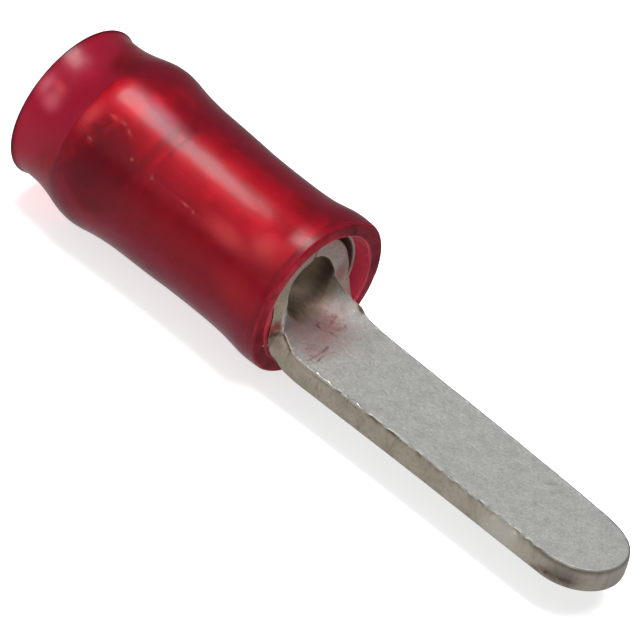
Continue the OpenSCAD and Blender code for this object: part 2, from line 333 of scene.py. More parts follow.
def sleeve_material():
    t = Tree("tinned_sleeve")
    u = t.unroll()
    mott = t.noise(1.6, 4, 0.6)
    lines = t.noise(2.4, 3, 0.6, stretch=(0.25, 3.5, 3.5))
    col = t.mix((0.86, 0.83, 0.77), (0.97, 0.95, 0.92), t.ramp(mott, 0.3, 0.7))
    # painted shade: the flare at the wire end, the hollow behind it and the lower funnel are darkened, with wandering
    # edges
    cloudy = t.noise(1.3, 4, 0.6, offset=(2, 5, 8))
    wander = t.vec("ADD", u, t.vec("MULTIPLY", t.vec("ADD", cloudy, (-0.5, -0.5, -0.5)), (1.1, 1.5, 0)))
    painted_funnel_shade = t.spot((-7.20, 7.45, 0), (1.15, 1.95, 1), 0, 0.72, wander)
    col = t.mix(col, (0.34, 0.22, 0.15), t.math("MULTIPLY", painted_funnel_shade, 0.92))
    core = t.spot((-7.45, 7.30, 0), (0.80, 1.45, 1), 0, 0.35, wander)
    col = t.mix(col, (0.15, 0.10, 0.075), t.math("MULTIPLY", core, t.ramp(mott, 0.25, 0.6, 0.70, 0.95)))
    low_funnel = t.spot((-6.35, 6.6, 0), (0.42, 0.75, 1), -8, 0.2, wander)
    col = t.mix(col, (0.30, 0.22, 0.17), t.math("MULTIPLY", low_funnel, 0.55))
    # painted shade: darker patches on the cone, under the nylon's highlight band, near the front and over the neck
    shade = t.spot((-6.7, 5.4, 0), (0.85, 1.0, 1), 0, 0.2, u)
    col = t.mix(col, (0.60, 0.56, 0.53), t.math("MULTIPLY", shade, 0.6))
    band = t.math("MAXIMUM", t.spot((-3.7, 4.80, 0), (4.6, 0.50, 1), 0, 0.1, u), t.spot((-0.8, 5.0, 0), (1.3, 0.55, 1), 0, 0.2, u))
    col = t.mix(col, (0.50, 0.44, 0.42), t.math("MULTIPLY", band, 0.70))
    neck = t.most([t.spot((-7.75, 3.75, 0), (1.2, 0.95, 1), 0, 0.15, wander), t.spot((-6.3, 3.75, 0), (1.6, 0.85, 1), 0, 0.1, wander)])
    col = t.mix(col, (0.27, 0.22, 0.20), t.math("MULTIPLY", neck, 0.66))
    cone = t.spot((-7.35, 5.85, 0), (0.45, 0.55, 1), 0, 0.1, wander)
    col = t.mix(col, (0.34, 0.27, 0.23), t.math("MULTIPLY", cone, 0.5))
    # its inside is brown and dull behind the front edge
    rad = t.vec("LENGTH", t.vec("MULTIPLY", t.vec("ADD", t.pos, (0, 0, -AXIS_Z)), (0, 1, 1)))
    inside = t.math("MULTIPLY", t.ramp(rad, 1.975, 1.945), t.ramp(t.axis(0), -1.0, 0.0))
    col = t.mix(col, (0.50, 0.34, 0.30), t.math("MULTIPLY", inside, 0.92))
    # painted shade: the lower flank darker and browner, streaked
    low = t.spot((-4.6, 8.7, 0), (3.0, 1.6, 1), 0, 0.3, u)
    col = t.mix(col, (0.62, 0.52, 0.42), t.math("MULTIPLY", low, t.ramp(lines, 0.3, 0.7, 0.45, 0.8)))
    t.set(Base_Color=col, Metallic=1.0, Roughness=t.ramp(lines, 0.25, 0.75, 0.58, 0.72))
    b = t.bump(lines, 0.012)
    b = t.bump(t.noise(9.0, 3, 0.6), 0.003, normal=b)
    t.links.new(b, t.bsdf.inputs["Normal"])
    return t.mat


def terminal_material():
    """The plated faces of the sheet: satin tin, brown inside the barrel with painted shade and painted light there,
    painted glints on the burr and scratches, and smears of the red nylon at its root.
    """
    t = Tree("tinned_copper")
    x, z = t.axis(0), t.axis(2)
    grain = t.noise(12.0, 5, 0.75)
    mott = t.noise(2.3, 4, 0.62)
    base = t.mix((0.365, 0.37, 0.35), (0.395, 0.40, 0.38), t.ramp(mott, 0.30, 0.70))
    base = t.mix(base, (0.52, 0.52, 0.505), t.math("MULTIPLY", t.ramp(grain, 0.52, 0.68), 0.70))
    base = t.mix(base, (0.25, 0.25, 0.235), t.math("MULTIPLY", t.ramp(grain, 0.48, 0.32), 0.70))
    # rubbed and dented places on the blade
    dull = [t.spot((11.95, 1.12, -0.965), (0.30, 0.20, 0.3), 60, 0.0), t.spot((12.27, 0.80, -0.965), (0.16, 0.13, 0.3), 0, 0.0),
            t.spot((12.35, -0.06, -0.965), (0.13, 0.10, 0.3), 0, 0.0), t.spot((12.81, 0.34, -0.965), (0.12, 0.07, 0.3), 30, 0.0),
            t.spot((11.74, -1.05, -0.965), (0.17, 0.09, 0.3), 10, 0.0), t.spot((10.75, 0.15, -0.965), (0.11, 0.16, 0.3), 0, 0.0),
            t.spot((7.11, 1.20, -0.965), (0.16, 0.05, 0.3), 15, 0.0), t.spot((6.60, -0.46, -0.965), (0.20, 0.05, 0.3), -14, 0.0),
            t.spot((9.10, -0.95, -0.965), (0.14, 0.08, 0.3), -30, 0.0), t.spot((8.3, 0.7, -0.965), (0.30, 0.06, 0.3), 8, 0.0)]
    base = t.mix(base, (0.24, 0.235, 0.215), t.math("MULTIPLY", t.most(dull), t.ramp(grain, 0.25, 0.6, 0.30, 0.55)))
    # painted highlights: thin bright streaks where scratches catch the light
    lit = [t.spot((6.52, -0.31, -0.965), (0.20, 0.045, 0.3), -14, 0.0), t.spot((12.0, 0.72, -0.965), (0.22, 0.04, 0.3), 35, 0.0),
           t.spot((12.55, 0.05, -0.965), (0.30, 0.03, 0.3), 28, 0.0), t.spot((9.6, 0.2, -0.965), (0.4, 0.025, 0.3), -5, 0.0)]
    base = t.mix(base, (0.56, 0.56, 0.54), t.math("MULTIPLY", t.most(lit), 0.6))
    # a grey line where the plating is dragged over the edges
    base = t.mix(base, (0.27, 0.262, 0.240), t.math("MULTIPLY", t.attr("rim"), t.ramp(mott, 0.3, 0.6, 0.35, 0.75)))
    # painted shade: the rounded edge round the tip darkened, more on its left side
    round_tip = t.math("MULTIPLY", t.attr("rim"), t.ramp(x, 13.2, 14.3))
    base = t.mix(base, (0.13, 0.125, 0.112), t.math("MULTIPLY", round_tip, t.ramp(t.axis(1), 1.3, -0.6, 0.4, 0.9)))
    # brown where the edge is bitten; the same attribute carries a painted shadow under the burr and painted shade round
    # the tip
    base = t.mix(base, (0.25, 0.205, 0.16), t.math("MULTIPLY", t.attr("bite"), 0.85))
    # the root: a pink-brown cast and dark red smears, broken up by the grain of the metal
    cast = t.math("MULTIPLY", t.spot((3.30, -0.35, -0.9), (1.75, 2.0, 1.2), 0, 0.15),
                  t.ramp(t.noise(2.0, 4, 0.65, offset=(5, 0, 0)), 0.15, 0.65, 0.45, 1.0))
    base = t.mix(base, (0.31, 0.19, 0.175), t.math("MULTIPLY", cast, 0.72))
    torn = t.ramp(t.noise(9.0, 5, 0.75, offset=(1, 8, 2)), 0.34, 0.62)

    def hairs(turn, scale, seed, wide):
        """Thin wandering lines that run along one direction."""
        m = t.nodes.new("ShaderNodeMapping")
        m.inputs["Rotation"].default_value = (0, 0, math.radians(-turn))
        t.links.new(t.pos, m.inputs["Vector"])
        n = t.noise(scale, 3, 0.6, stretch=(0.30, 1.0, 0.0), offset=(seed, 2 * seed, 0), pos=m.outputs[0])
        return t.ramp(t.math("ABSOLUTE", t.math("SUBTRACT", n, 0.5)), wide, wide * 0.25)

    left = t.spot((4.22, -1.02, -0.93), (0.52, 0.62, 0.5), 0, 0.15)
    mid = t.spot((3.50, 0.38, -0.93), (0.62, 0.72, 0.6), -15, 0.15)
    lines = [t.math("MULTIPLY", left, hairs(-78, 3.2, 1.7, 0.050)), t.math("MULTIPLY", mid, hairs(-28, 3.4, 4.1, 0.055)),
             t.math("MULTIPLY", t.math("MULTIPLY", mid, hairs(50, 3.0, 7.3, 0.040)), 0.8)]
    # each stroke: middle, half length, half width, turn, strength
    strokes = [(3.32, 0.71, 0.16, 0.110, 58, 1.00), (3.43, 0.55, 0.22, 0.060, 92, 0.80), (3.46, 0.45, 0.12, 0.050, 10, 0.80),
               (3.40, -0.03, 0.22, 0.065, -4, 1.00), (3.29, 0.04, 0.26, 0.050, 96, 0.70), (3.78, 0.16, 0.14, 0.060, 4, 0.90),
               (3.96, 0.16, 0.15, 0.050, -4, 0.80), (3.82, 0.75, 0.15, 0.060, -20, 0.90), (3.78, 0.52, 0.25, 0.080, 77, 0.50),
               (3.66, 0.63, 0.12, 0.060, 35, 0.40), (3.98, -1.15, 0.36, 0.035, 63, 0.55), (3.81, -1.01, 0.34, 0.030, 55, 0.35),
               (4.25, -0.62, 0.37, 0.075, -72, 1.00), (4.31, -0.95, 0.34, 0.060, -83, 0.90), (4.36, -1.34, 0.30, 0.055, -79, 0.80),
               (4.51, -1.15, 0.48, 0.050, -75, 0.75), (4.46, -1.43, 0.18, 0.045, -11, 0.60), (4.35, -1.52, 0.16, 0.040, 58, 0.50),
               (4.45, -0.53, 0.18, 0.050, 49, 0.35), (4.96, -1.27, 0.14, 0.050, 30, 0.30), (4.10, -1.38, 0.20, 0.030, 19, 0.35)]
    bent = t.vec("ADD", t.pos, t.vec("MULTIPLY", t.vec("ADD", t.noise(2.6, 3, 0.6, offset=(3, 3, 6)), (-0.5, -0.5, -0.5)), (0.16, 0.16, 0)))
    smear = [t.math("MULTIPLY", t.spot((x0, y0, -0.93), (hl, hw * 1.35, 0.4), turned, 0.1, bent), strong)
             for x0, y0, hl, hw, turned, strong in strokes]
    base = t.mix(base, (0.30, 0.115, 0.125), t.math("MULTIPLY", t.math("MAXIMUM", left, mid), t.ramp(torn, 0.0, 1.0, 0.10, 0.28)))
    base = t.mix(base, (0.24, 0.080, 0.092), t.math("MULTIPLY", t.most(lines), t.ramp(torn, 0.0, 1.0, 0.05, 0.38)))
    base = t.mix(base, (0.19, 0.058, 0.068), t.math("MULTIPLY", t.most(smear), t.ramp(torn, 0.0, 1.0, 0.35, 0.90)))
    # inside the barrel: brown, and darker deeper in as painted shade, with darker streaks along the wire's way
    streak = t.noise(2.0, 4, 0.65, stretch=(0.8, 2.2, 2.2), offset=(2, 3, 1))
    deep = t.ramp(t.math("ADD", x, t.math("MULTIPLY", streak, 0.16)), 3.32, 2.72)
    inner = t.mix((0.21, 0.168, 0.125), (0.31, 0.255, 0.195), t.ramp(streak, 0.35, 0.65))
    inner = t.mix(inner, (0.42, 0.36, 0.29), t.math("MULTIPLY", t.ramp(grain, 0.52, 0.70), 0.5))
    # painted light: the far end of the bore paler, more so on the right
    far = t.mix((0.76, 0.69, 0.58), (1.0, 0.93, 0.80), t.ramp(t.axis(1), -0.3, 0.9))
    inner = t.mix(inner, far, t.math("MULTIPLY", t.ramp(x, 2.50, 1.70), t.ramp(streak, 0.25, 0.55, 0.75, 1.0)))
    # painted shade: darker low on the left of the bore
    low_left = t.math("MAXIMUM", t.spot((2.15, 0.15, -0.95), (0.50, 0.50, 0.45), -25, 0.1), t.spot((2.50, -0.20, -0.95), (0.42, 0.30, 0.40), -25, 0.1))
    low_left = t.math("MULTIPLY", low_left, t.ramp(streak, 0.30, 0.60, 0.30, 0.80))
    inner = t.mix(inner, (0.13, 0.115, 0.095), low_left)
    core = t.ramp(t.vec("LENGTH", t.vec("MULTIPLY", t.pos, (0, 1, 1))), 1.26, 1.10)
    base = t.mix(base, inner, t.math("MULTIPLY", deep, core))
    # painted shade: the bore's right wall and a streak low on its left darkened
    right_wall = t.spot((2.72, 1.02, -0.45), (0.40, 0.45, 0.55), 0, 0.0)
    base = t.mix(base, (0.40, 0.35, 0.27), t.math("MULTIPLY", right_wall, 0.6))
    base = t.mix(base, (0.10, 0.075, 0.055), t.math("MULTIPLY", t.spot((2.72, -0.42, -0.75), (0.55, 0.10, 0.5), -28, 0.1), 0.8))
    base = t.mix(base, (0.15, 0.09, 0.055), t.math("MULTIPLY", t.spot((3.58, 1.56, -0.69), (0.24, 0.14, 0.30), 12, 0.45), t.ramp(grain, 0.2, 0.55, 0.6, 1.0)))
    # painted shade: the turn of the neck on the right is darker than the blade
    turn = t.spot((3.25, 1.22, -0.72), (0.55, 0.55, 0.45), 0, 0.0)
    base = t.mix(base, (0.25, 0.222, 0.20), t.math("MULTIPLY", turn, 0.75))
    # painted highlight: near white where the burr glints
    burr = t.attr("burr")
    base = t.mix(base, (0.97, 0.95, 0.91), burr)
    rough = t.ramp(mott, 0.25, 0.75, 0.62, 0.74)
    t.set(Base_Color=base, Metallic=1.0, Roughness=t.math("SUBTRACT", rough, t.math("MULTIPLY", burr, 0.22)))
    b = t.bump(mott, 0.006)
    b = t.bump(grain, 0.005, normal=b)
    t.links.new(b, t.bsdf.inputs["Normal"])
    return t.mat


def cut_material():
    """The sheared edges of the sheet: bare metal in browns and tans, drawn in streaks through the thickness."""
    t = Tree("cut_edge")
    x, z = t.axis(0), t.axis(2)
    shear = t.noise(5.0, 4, 0.65, stretch=(1, 1, 0.14))
    patch = t.noise(1.5, 5, 0.65, offset=(7, 1, 3))
    grain = t.noise(9.0, 4, 0.7)
    base = t.mix((0.62, 0.57, 0.455), (0.755, 0.67, 0.56), t.ramp(patch, 0.33, 0.66))
    base = t.mix(base, (0.42, 0.38, 0.305), t.math("MULTIPLY", t.ramp(shear, 0.54, 0.74), 0.55))
    base = t.mix(base, (0.40, 0.36, 0.29), t.math("MULTIPLY", t.ramp(grain, 0.48, 0.30), 0.55))
    base = t.mix(base, (0.92, 0.86, 0.76), t.math("MULTIPLY", t.ramp(grain, 0.55, 0.75), 0.5))
    # the barrel's front is greyer
    base = t.mix(base, (0.92, 0.885, 0.82), t.math("MULTIPLY", t.ramp(x, 2.95, 2.65), t.ramp(patch, 0.2, 0.6, 0.55, 0.9)))
    base = t.mix(base, (0.67, 0.41, 0.40), t.math("MULTIPLY", t.spot((2.70, 1.28, 0.10), (0.35, 0.42, 0.50), 0, 0.2), 0.85))
    pits = t.noise(13.0, 4, 0.75, offset=(2, 9, 4))
    base = t.mix(base, (0.50, 0.45, 0.40), t.math("MULTIPLY", t.ramp(x, 3.1, 2.8), t.math("MULTIPLY", t.ramp(pits, 0.50, 0.34), 0.60)))
    base = t.mix(base, (1.0, 0.97, 0.91), t.math("MULTIPLY", t.ramp(x, 3.1, 2.8), t.math("MULTIPLY", t.ramp(pits, 0.54, 0.70), 0.50)))
    # brown where the edge is bitten, with painted shadow under the burr from the same attribute, painted shade at the
    # left corner of the neck, and a dark rounded line and smudges round the tip
    bite = t.attr("bite")
    base = t.mix(base, (0.25, 0.19, 0.15), t.math("MULTIPLY", bite, 0.95))
    base = t.mix(base, (0.17, 0.13, 0.11), t.math("MULTIPLY", t.spot((3.42, -1.66, -0.72), (0.42, 0.22, 0.13), 0, 0.0), 0.8))
    base = t.mix(base, (0.30, 0.25, 0.20), t.math("MULTIPLY", t.ramp(z, -1.12, -0.99), t.ramp(x, 6.6, 8.2, 0.05, 0.22)))
    base = t.mix(base, (0.90, 0.86, 0.79), t.math("MULTIPLY", t.ramp(x, 9.2, 11.0), t.ramp(patch, 0.3, 0.6, 0.05, 0.25)))
    base = t.mix(base, (0.95, 0.91, 0.83), t.math("MULTIPLY", t.spot((12.55, -1.6, -1.4), (1.2, 0.6, 0.8), 0, 0.2), 0.72))
    # painted light: the end of the tip paler towards its right
    painted_tip_light = t.ramp(t.axis(1), -1.45, 0.2)
    base = t.mix(base, (1.0, 0.985, 0.94), t.math("MULTIPLY", t.math("MULTIPLY", t.ramp(x, 15.1, 15.6), painted_tip_light), 0.66))
    base = t.mix(base, (0.32, 0.285, 0.24), t.math("MULTIPLY", t.spot((14.75, -1.25, -1.38), (0.95, 0.75, 0.55), 0, 0.15), 0.85))
    line = t.math("MULTIPLY", t.ramp(t.math("ADD", z, t.math("MULTIPLY", patch, 0.10)), -1.13, -0.94),
                  t.math("MULTIPLY", t.ramp(x, 12.9, 14.2), t.ramp(t.axis(1), 0.9, -1.1, 0.35, 1.0)))
    base = t.mix(base, (0.20, 0.185, 0.165), t.math("MULTIPLY", line, 0.66))
    smudge = [t.spot((14.35, -1.52, -1.50), (0.55, 0.4, 0.20), 0, 0.0), t.spot((14.9, -1.35, -1.47), (0.50, 0.5, 0.16), 0, 0.0),
              t.spot((14.0, -1.55, -1.60), (0.30, 0.4, 0.10), 0, 0.0)]
    base = t.mix(base, (0.17, 0.105, 0.08), t.math("MULTIPLY", t.most(smudge), t.ramp(grain, 0.25, 0.65, 0.25, 0.9)))
    # painted reflection: red light from the nylon, broken up with scraped nylon, where the cut meets the insulation,
    # and painted shadow of the nylon's lip in darker tan and brown
    base = t.mix(base, (0.40, 0.33, 0.27), t.math("MULTIPLY", t.spot((3.22, -1.88, -0.95), (0.40, 0.5, 0.42), 0, 0.0), 0.75))
    scraped = t.ramp(t.noise(7.0, 4, 0.7, offset=(6, 2, 4)), 0.30, 0.60)
    red = t.math("MAXIMUM", t.spot((3.08, -1.78, -0.50), (0.34, 0.42, 0.28), 0, 0.25), t.spot((3.08, -1.97, -0.62), (0.34, 0.24, 0.30), 0, 0.3))
    base = t.mix(base, (0.52, 0.12, 0.105), t.math("MULTIPLY", red, t.ramp(scraped, 0.0, 1.0, 0.45, 0.95)))
    brown = t.spot((3.18, -1.85, -0.76), (0.40, 0.45, 0.14), 0, 0.1)
    base = t.mix(base, (0.20, 0.12, 0.095), t.math("MULTIPLY", brown, t.ramp(scraped, 0.0, 1.0, 0.45, 0.85)))
    # painted highlight: near white where the burr glints
    burr = t.attr("burr")
    base = t.mix(base, (0.97, 0.95, 0.91), burr)
    t.set(Base_Color=base, Metallic=1.0, Roughness=t.ramp(shear, 0.3, 0.7, 0.56, 0.70))
    b = t.bump(shear, 0.02)
    b = t.bump(grain, 0.006, normal=b)
    t.links.new(b, t.bsdf.inputs["Normal"])
    return t.mat


# ------------------------------------------------------- insulation sleeve ----
L = 10.31
OUT_F = [0.012, 0.03, 0.06, 0.09, 0.12, 0.15, 0.18, 0.21, 0.24, 0.27, 0.30, 0.33, 0.36, 0.40,
         0.46, 0.54, 0.62, 0.70, 0.78, 0.84, 0.90, 0.93, 0.95, 0.97, 0.9865]
OUT_R = [2.385, 2.339, 2.342, 2.36, 2.41, 2.479, 2.562, 2.624, 2.642, 2.61, 2.556, 2.512, 2.479,
         2.451, 2.434, 2.404, 2.368, 2.362, 2.372, 2.401, 2.470, 2.506, 2.510, 2.504, 2.494]


def line(x0, x1, r0, r1, n):
    return [(x, mix(r0, r1, float(ease((x - x0) / (x1 - x0))))) for x in np.linspace(x0, x1, n, endpoint=False)]


def sleeve_seat(gap):
    """Outer line of the support sleeve from its front edge to its wire end, moved out by gap."""
    p = line(-0.50, -1.80, 2.07, 2.0, 8) + line(-1.80, -5.58, 2.0, 2.0, 6)
    p += line(-5.58, -6.24, 2.0, 2.04, 4) + line(-6.24, -7.54, 2.04, 2.31, 12) + [(-7.54, 2.31), (-8.5, 2.31)]
    return [(x, r + gap) for x, r in p]


def make_insulation(material):
    f = np.linspace(OUT_F[0], 0.9865, 92)
    outer = [((v - 1) * L, r * 1.05) for v, r in zip(f, smooth_curve(OUT_F, OUT_R, f))]
    # rounded edge of the front face, wire end to front
    front = [(-0.135 + 0.135 * math.sin(a), 2.508 + 0.111 * math.cos(a)) for a in np.radians(np.arange(10, 91, 8))]
    face = [(0.0, r) for r in (2.47, 2.40, 2.32, 2.27, 2.24)]
    lip = [(-0.05 + 0.05 * math.cos(a), 2.155 + 0.05 - 0.05 * math.sin(a)) for a in np.radians((0, 25, 50, 75, 90))]
    mouth = [(-0.12, 2.145), (-0.25, 2.12), (-0.40, 2.092), (-0.48, 2.080)]
    seat = sleeve_seat(0.004)
    back = [(-8.508, 2.305), (-8.512, 2.12), (-8.54, 2.10), (-9.0, 2.10), (-9.5, 2.10)]
    back += line(-9.5, -10.27, 2.10, 2.22, 8) + [(-10.30, 2.26)]
    rim = [(-L + 0.10 - 0.10 * math.sin(a), 2.43 + 0.10 * math.cos(a)) for a in np.radians(np.arange(90, -1, -12))]
    profile = outer + front + face + lip + mouth + seat + back + rim
    w1, w2, w3 = waves(3, 5, 1, 1), waves(5, 6, 0.6, 2.2), waves(8, 6, 0.5, 1.8)

    def shift(X, R, T):
        # the moulding isn't quite round, and its mouth is a little uneven
        oval = 0.006 * np.cos(2 * T + 0.7 + 0.3 * X) + 0.004 * np.sin(3 * T + 0.9 * X)
        oval = oval + 0.030 * ease((X + 6.0) / 2.0) * np.exp(-((T - 3.84) / 0.6) ** 2)
        oval = oval + 0.080 * ease((X + 1.6) / 1.4) * np.exp(-((T - 0.66) / 0.6) ** 2)
        oval = oval - 0.030 * ease((X + 1.2) / 1.0) * np.exp(-((T - 5.72) / 0.28) ** 2)
        outer_part = (R > 2.30) & ~((X < -7.4) & (X > -8.56) & (R < 2.33))
        R = R + np.where(outer_part, oval, 0.0)
        near = np.exp(-((X + 0.02) / 0.16) ** 2)
        X = X + near * (0.012 * np.sin(2 * T + 1.1) + 0.008 * np.sin(5 * T + 2.0))
        # the blade's corner has pushed the lip of the mouth inward on its left side
        d = (T - math.radians(186) + math.pi) % (2 * math.pi) - math.pi
        e = (T - math.radians(206) + math.pi) % (2 * math.pi) - math.pi
        lip = (R < 2.26) & (X > -0.45)
        fade = ease((X + 0.44) / 0.30)
        push = -0.235 * np.exp(-(d / 0.275) ** 2) - 0.125 * np.exp(-(e / 0.155) ** 2) + 0.012 * np.sin(9 * T) * np.exp(-(d / 0.5) ** 2)
        R = R + np.where(lip, push * fade * ease((2.31 - R) / 0.10), 0.0)
        return X, R

    v, fcs = lathe(profile, 256, shift)
    return piece("nylon_sleeve", v, fcs, [material], "insulation_sleeve", merge=1e-4)


# ----------------------------------------------------------- support sleeve ----
def make_support(material):
    g = -0.006
    outer = line(-0.50, -1.80, 2.07 + g, 2.0 + g, 10) + line(-1.80, -5.58, 2.0 + g, 2.0 + g, 30)
    outer += line(-5.58, -5.91, 2.0 + g, 1.70, 8) + line(-5.91, -6.24, 1.70, 2.04 + g, 8)
    outer += line(-6.24, -7.54, 2.04 + g, 2.31 + g, 14) + [(x, 2.31 + g) for x in (-7.54, -7.8, -8.1, -8.35, -8.47)]
    outer += [(-8.49, 2.302), (-8.50, 2.29)]
    inner = [(-8.5, 2.16), (-8.48, 2.125), (-8.44, 2.11), (-8.2, 2.11)] + line(-7.54, -6.24, 2.11, 1.84, 12)
    inner += line(-6.24, -5.91, 1.84, 1.52, 8) + line(-5.91, -5.58, 1.52, 1.80, 8) + line(-5.58, -1.80, 1.80, 1.80, 20)
    inner += line(-1.80, -0.62, 1.80, 1.935, 10) + [(-0.60, 1.94), (-0.52, 1.957), (-0.49, 1.972), (-0.482, 2.0), (-0.485, 2.04)]
    n = 360
    seam = math.radians(148)
    w = waves(11, 7, 3, 17)

    def shift(X, R, T):
        # a shallow lengthwise joint in the rolled sheet, and a slightly wavy front edge
        d = np.abs((T - seam + math.pi) % (2 * math.pi) - math.pi)
        groove = np.exp(-(d / 0.018) ** 2) * 0.010
        lift = -np.exp(-((d - 0.05) / 0.03) ** 2) * 0.004
        R = R - np.where(R > 1.93, groove, 0) + lift * (R > 1.93)
        near = np.exp(-((X + 0.49) / 0.12) ** 2)
        X = X + near * (0.012 * w(T * 1.0) * np.sin(T / 2) ** 2)
        return X, R

    v, fcs = lathe(outer + inner, n, shift)
    return piece("tinned_support", v, fcs, [material], "support_sleeve", merge=1e-4)


# ----------------------------------------------------------------- terminal ----
RM, X_BACK, X_TIP, TIP_R = 1.30, -5.64, 12.66, 1.56
BLADE_T, TOP_Z, INSET = 0.76, -0.965, 0.12
S_MAX = math.pi * RM - 0.012
# How the rolled sheet opens into the flat blade: x from the front face, and how far open it is there. The two
# sides of the neck differ, and so do their cuts: front edge, lean towards the seam, corner radius, sheet.
OPEN_X = [-0.62, -0.42, -0.22, 0.0, 0.25, 0.5, 0.8, 1.3]
SIDES = {-1: dict(open=[0, 0.030, 0.190, 0.300, 0.725, 0.80, 0.932, 1], r=0.035, t=0.68,
                  cut=([1.70, 1.84, 2.20, 2.60, 2.94, 3.20, 3.60, 4.08], [0.225, 0.190, 0.085, -0.120, -0.190, -0.235, -0.335, -0.515])),
         1: dict(open=[0, 0.011, 0.208, 0.397, 0.542, 0.675, 0.884, 1], r=0.55, t=0.64,
                 cut=([1.70, 2.20, 2.60, 3.20, 4.08], [-0.345, -0.350, -0.405, -0.476, -0.520]))}


def opening(x, side):
    x = np.asarray(x, float)
    inside = smooth_curve(OPEN_X, SIDES[side]["open"], np.clip(x, OPEN_X[0], OPEN_X[-1]))
    return np.clip(inside, 0.0, 1.0)


def half_w(x, side):
    w = mix(3.46, 3.12, (x + 0.42) / (X_TIP - TIP_R + 0.42)) / 2
    if side < 0:
        return w + 0.085 * (1 - ease(x / 7.0))
    return w + mix(-0.024, 0.035, ease((x - 2.0) / 4.5)) * ease((11.1 - x) / 2.0) + 0.055 * np.exp(-((x - 0.15) / 0.42) ** 2) + 0.08 * np.exp(-((x - 0.57) / 0.15) ** 2)


def x_cut(s, side):
    """Where the barrel's front edge lies at s along the rolled sheet: it leans back towards the seam."""
    at, x = SIDES[side]["cut"]
    return smooth_curve(at, x, np.clip(s, at[0], at[-1]))


def roll(x, s, h):
    """Flat blank to the formed terminal: x along, s across (right positive), h through the sheet (-0.5 to 0.5)."""
    x, s, h = np.broadcast_arrays(*(np.asarray(v, float) for v in (x, s, h)))
    w = ease((s + 0.9) / 1.8)
    o = mix(opening(x, -1), opening(x, 1), w)
    k = (1 - o) / RM
    t = mix(mix(SIDES[-1]["t"], SIDES[1]["t"], w), BLADE_T, o)
    t = t + 0.085 * (1 - w) * np.exp(-((x - 0.22) / 0.28) ** 2) * ease((2.35 + s) / 0.5)
    # the outer side of the sheet is drawn in where the left cut turns into the blade's edge
    drawn = 0.44 * np.exp(-((s + 2.30) / 0.35) ** 2) * np.exp(-((x - 0.10) / 0.36) ** 2)
    h = np.where(h < 0, h * (1 - drawn), h)
    z0 = mix(-RM, TOP_Z - BLADE_T / 2, o)
    a = s * k
    ks = np.where(k > 1e-6, k, 1.0)
    y = np.where(k > 1e-6, np.sin(a) / ks, s)
    z = z0 + np.where(k > 1e-6, (1 - np.cos(a)) / ks, 0.0)
    return np.stack([x + X_MID, y - np.sin(a) * h * t, z + np.cos(a) * h * t], -1)


def outline(side):
    """Half of the blank from the tip's middle to the middle of the wire end: outer points and inset points."""
    P, Q, tag = [], [], []

    def add(p, q, k):
        P.append(p); Q.append(q); tag.append(k)

    r = SIDES[side]["r"]
    cx = X_TIP - TIP_R
    for a in np.radians(np.linspace(0, 90, 41)):
        add((cx + TIP_R * math.cos(a), TIP_R * math.sin(a)),
            (cx + (TIP_R - INSET) * math.cos(a), (TIP_R - INSET) * math.sin(a)), 0)
    x0 = SIDES[side]["cut"][1][0]
    for _ in range(4):
        sc = float(half_w(x0 + r, side)) + r
        x0 = float(x_cut(sc, side))
    for x in list(np.linspace(cx, 1.2, 190)[1:]) + list(np.linspace(1.2, x0 + r, 30)[1:]):
        add((x, float(half_w(x, side))), (x, float(half_w(x, side)) - INSET), 1)
    hw = sc - r
    for b in np.radians(np.linspace(0, 90, 13)[1:]):
        add((x0 + r - r * math.sin(b), hw + r - r * math.cos(b)),
            (x0 + r - (r + INSET) * math.sin(b), hw + r - (r + INSET) * math.cos(b)), 2)
    for u in np.linspace(0, 1, 25)[1:]:
        s, q = mix(sc, S_MAX, u), mix(sc, S_MAX - INSET, u)
        add((float(x_cut(s, side)), s), (float(x_cut(q, side)) - INSET, q), 3)
    x1 = float(x_cut(S_MAX, side))
    for u in np.linspace(0, 1, 41)[1:]:
        add((mix(x1, X_BACK, u), S_MAX),
            (mix(float(x_cut(S_MAX - INSET, side)) - INSET, X_BACK + INSET, u), S_MAX - INSET), 4)
    for u in np.linspace(0, 1, 25)[1:]:
        add((X_BACK, mix(S_MAX, sc, u)), (X_BACK + INSET, mix(S_MAX - INSET, sc, u)), 5)
    for u in np.linspace(0, 1, 15)[1:]:
        add((X_BACK, mix(sc, 0, u)), (X_BACK + INSET, mix(sc, 0, u)), 5)
    return np.array(P), np.array(Q), np.array(tag), sc


# Along the left edge, in mm from the object's origin: where the burr stands up and is painted bright as a glint, and
# where the edge is bitten.
BURRS = [(3.22, 0.10, 1.0), (3.96, 0.09, 0.75), (4.22, 0.11, 0.85), (4.44, 0.07, 0.7), (4.66, 0.12, 1.0), (4.99, 0.18, 0.95),
         (5.36, 0.20, 1.0), (5.66, 0.07, 0.5), (6.04, 0.11, 0.8), (6.40, 0.09, 0.7), (6.60, 0.16, 0.95), (8.68, 0.06, 0.35),
         (10.04, 0.06, 0.35), (10.25, 0.05, 0.35), (11.06, 0.06, 0.45), (11.36, 0.07, 0.4), (12.70, 0.09, 0.5)]
BITES = [(3.44, 0.15, 1.0), (3.72, 0.14, 1.0), (5.86, 0.10, 0.6), (7.20, 0.20, 0.9), (7.45, 0.12, 0.6), (7.92, 0.17, 1.0), (8.20, 0.18, 0.7), (8.50, 0.10, 0.45), (9.04, 0.13, 0.8),
         (9.50, 0.10, 0.4), (9.85, 0.14, 0.5), (10.6, 0.13, 0.5), (11.20, 0.09, 0.5), (11.55, 0.14, 0.9), (12.1, 0.12, 0.5), (12.98, 0.13, 0.9),
         (13.45, 0.16, 0.6), (13.8, 0.12, 0.5)]


def bumps(table, x):
    return sum(a * np.exp(-((x - c) / w) ** 4) for c, w, a in table)


